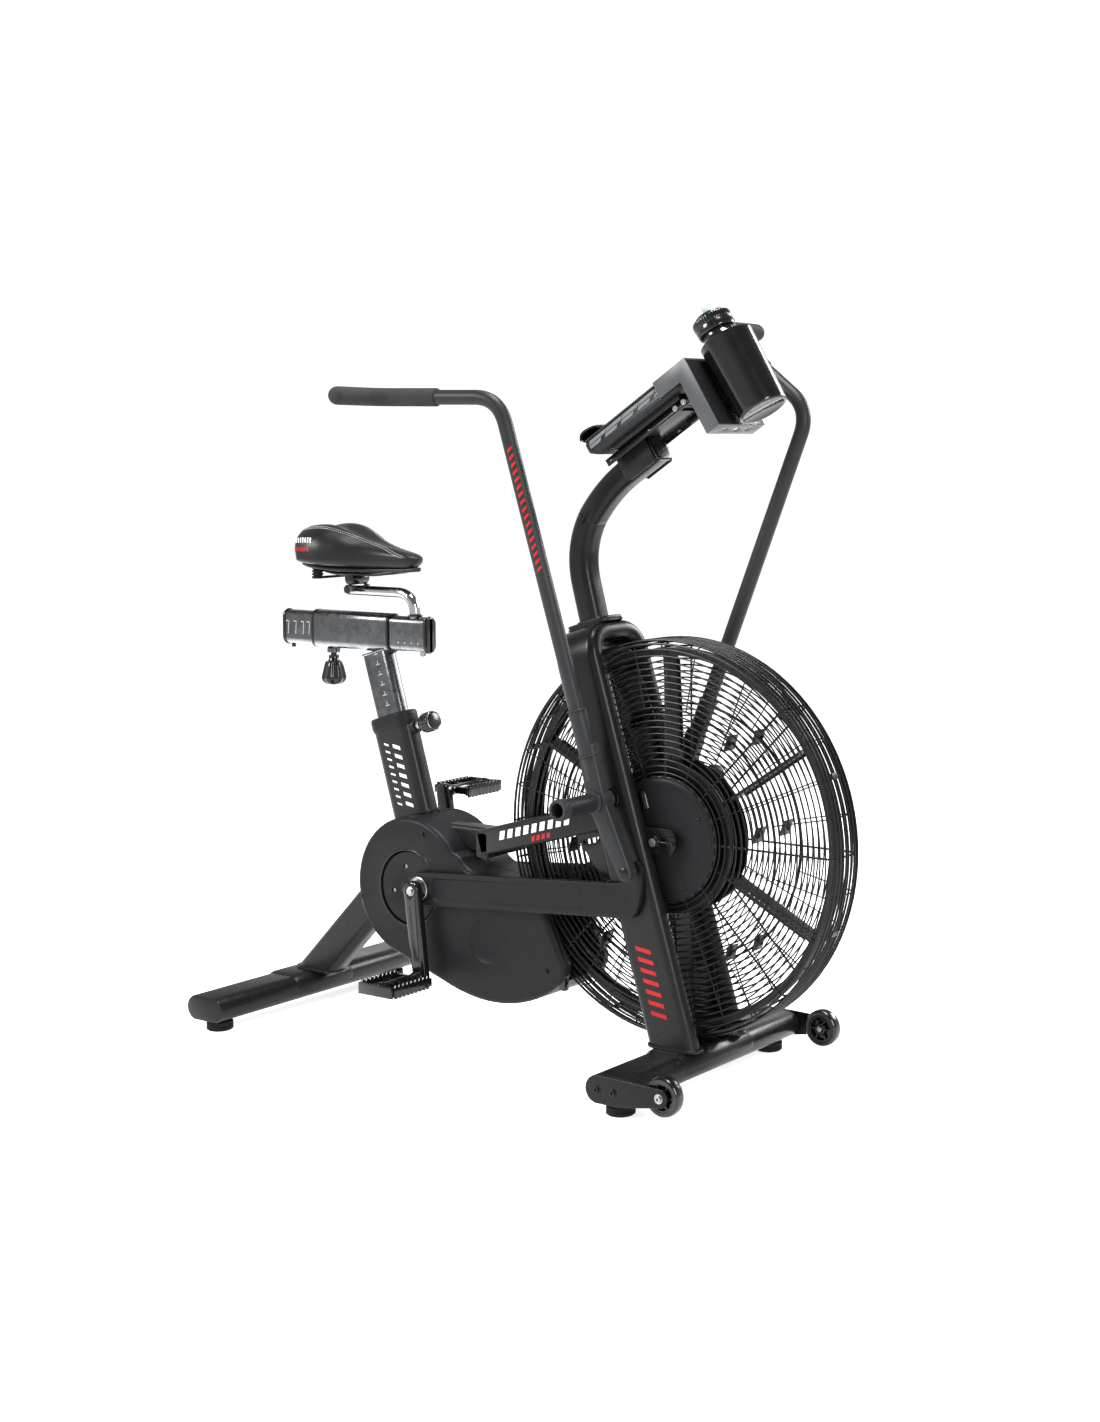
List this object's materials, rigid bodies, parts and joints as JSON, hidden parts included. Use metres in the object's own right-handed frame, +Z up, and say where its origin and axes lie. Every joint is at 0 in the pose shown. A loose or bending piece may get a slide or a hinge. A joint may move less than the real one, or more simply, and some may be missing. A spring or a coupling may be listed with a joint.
{
  "type": "air bike",
  "caption": "Upright exercise bike: pedal cranks and swinging handles drive a caged radial fan; sliding saddle, tilted console and a bottle holder on a black tube frame.",
  "frame": {"origin": "middle of the footprint on the floor", "axes": "+X forward towards the fan, +Y to the rider's left, +Z up"},
  "size_m": [1.3964, 0.681, 1.4467],
  "materials": {
    "frame_black": "satin black powder coat",
    "tube_black": "satin charcoal powder coat",
    "arm_black": "gloss black paint",
    "blade_black": "satin black paint",
    "wire_black": "semi-gloss black paint",
    "cover_black": "fine-textured black plastic",
    "gloss_black": "gloss black plastic",
    "console_black": "dark plastic with a light grey side band",
    "rubber": "matt black rubber",
    "belting": "matt ribbed rubber",
    "foam": "dark grey closed-cell foam",
    "vinyl": "black vinyl with grey twin stitching",
    "zinc": "mottled zinc plating",
    "chrome": "polished chrome",
    "steel": "machined steel"
  },
  "bodies": {
    "frame": {"front_stabiliser": "frame_black", "rear_stabiliser": "frame_black", "front_fork": "frame_black", "seat_tube": "frame_black", "rear_leg": "frame_black", "crank_shell": "frame_black", "main_beam": "frame_black", "neck": "frame_black", "neck_cap": "gloss_black", "front_foot_right": "rubber", "front_foot_left": "rubber", "rear_foot_right": "rubber", "rear_foot_left": "rubber", "end_plate_right": "frame_black", "end_plate_left": "frame_black", "shroud_right": "cover_black", "shroud_left": "cover_black", "crank_belt": "belting", "fan_belt": "belting", "fan_axle": "steel", "cage_right": "wire_black", "cage_left": "wire_black", "hub_cover_right": "cover_black", "hub_cover_left": "cover_black", "axle_bracket_right": "steel", "axle_bracket_left": "steel", "foot_peg_right": "tube_black", "foot_peg_left": "tube_black", "console": "console_black", "console_bracket": "frame_black", "bottle_bracket": "frame_black", "cup": "gloss_black"},
    "fan_wheel": {"fan": "blade_black"},
    "jackshaft": {"jackshaft": "steel"},
    "crank": {"crank_axle": "steel", "crank_pulley": "steel", "crank_disc_right": "arm_black", "crank_disc_left": "arm_black", "crank_arm_right": "arm_black", "crank_arm_left": "arm_black"},
    "pedal_right": {"pedal_right": "arm_black"},
    "pedal_left": {"pedal_left": "arm_black"},
    "rod_right": {"connecting_rod_right": "cover_black"},
    "rod_left": {"connecting_rod_left": "cover_black"},
    "handle_right": {"handle_right": "tube_black", "grip_right": "foam"},
    "handle_left": {"handle_left": "tube_black", "grip_left": "foam"},
    "wheel_right": {"wheel_right": "gloss_black"},
    "wheel_left": {"wheel_left": "gloss_black"},
    "seat_post": {"seat_post": "zinc", "slider_sleeve": "zinc"},
    "seat": {"slider_tube": "zinc", "saddle_post": "chrome", "saddle_clamp": "gloss_black", "saddle": "vinyl", "saddle_rails": "steel"},
    "height_knob": {"height_knob": "gloss_black"},
    "slider_knob": {"slider_knob": "gloss_black"},
    "bottle": {"bottle": "gloss_black"}
  },
  "joints": [
    {"name": "fan_spin", "type": "hinge", "parent": "frame", "child": "fan_wheel", "pos_m": [0.32625, 0, 0.455], "axis": [0, 1, 0], "continuous": true},
    {"name": "jackshaft_spin", "type": "hinge", "parent": "frame", "child": "jackshaft", "pos_m": [-0.08375, 0, 0.219], "axis": [0, 1, 0], "continuous": true},
    {"name": "crank_spin", "type": "hinge", "parent": "frame", "child": "crank", "pos_m": [-0.28975, 0, 0.298], "axis": [0, 1, 0], "continuous": true},
    {"name": "pedal_right_spin", "type": "hinge", "parent": "crank", "child": "pedal_right", "pos_m": [-0.22734, -0.176, 0.13439], "axis": [0, 1, 0], "continuous": true},
    {"name": "pedal_left_spin", "type": "hinge", "parent": "crank", "child": "pedal_left", "pos_m": [-0.35215, 0.176, 0.46161], "axis": [0, 1, 0], "continuous": true},
    {"name": "rod_right_turn", "type": "hinge", "parent": "crank", "child": "rod_right", "pos_m": [-0.24806, -0.081, 0.30312], "axis": [0, 1, 0], "continuous": true},
    {"name": "rod_left_turn", "type": "hinge", "parent": "crank", "child": "rod_left", "pos_m": [-0.33144, 0.081, 0.29288], "axis": [0, 1, 0], "continuous": true},
    {"name": "handle_right_swing", "type": "hinge", "parent": "frame", "child": "handle_right", "pos_m": [0.23825, -0.128, 0.53], "axis": [0, 1, 0], "range_deg": [0, 34.6]},
    {"name": "handle_left_swing", "type": "hinge", "parent": "frame", "child": "handle_left", "pos_m": [0.23825, 0.128, 0.53], "axis": [0, 1, 0], "range_deg": [-34.6, 0]},
    {"name": "wheel_right_spin", "type": "hinge", "parent": "frame", "child": "wheel_right", "pos_m": [0.48225, -0.258, 0.055], "axis": [0, 1, 0], "continuous": true},
    {"name": "wheel_left_spin", "type": "hinge", "parent": "frame", "child": "wheel_left", "pos_m": [0.48225, 0.258, 0.055], "axis": [0, 1, 0], "continuous": true},
    {"name": "seat_height", "type": "slide", "parent": "frame", "child": "seat_post", "axis": [-0.2935, 0, 0.956], "range_m": [-0.085, 0.1]},
    {"name": "seat_reach", "type": "slide", "parent": "seat_post", "child": "seat", "axis": [1, 0, 0], "range_m": [-0.012, 0.065]},
    {"name": "height_knob_pull", "type": "slide", "parent": "frame", "child": "height_knob", "axis": [0.956, 0, 0.2935], "range_m": [0, 0.009], "stiffness_N_per_m": 800, "springref_m": -0.004},
    {"name": "slider_knob_pull", "type": "slide", "parent": "seat_post", "child": "slider_knob", "axis": [0, 0, -1], "range_m": [0, 0.009], "stiffness_N_per_m": 800, "springref_m": -0.004},
    {"name": "bottle_lift", "type": "slide", "parent": "frame", "child": "bottle", "axis": [-0.5373, 0, 0.8434], "range_m": [0, 0.17]}
  ],
  "couplings": [
    {"joint": "jackshaft_spin", "follows": "fan_spin", "ratio": 0.46667},
    {"joint": "crank_spin", "follows": "fan_spin", "ratio": 0.12078},
    {"joint": "rod_right_turn", "follows": "fan_spin", "ratio": -0.12078},
    {"joint": "rod_left_turn", "follows": "fan_spin", "ratio": -0.12078},
    {"joint": "handle_left_swing", "follows": "handle_right_swing", "ratio": -1}
  ]
}
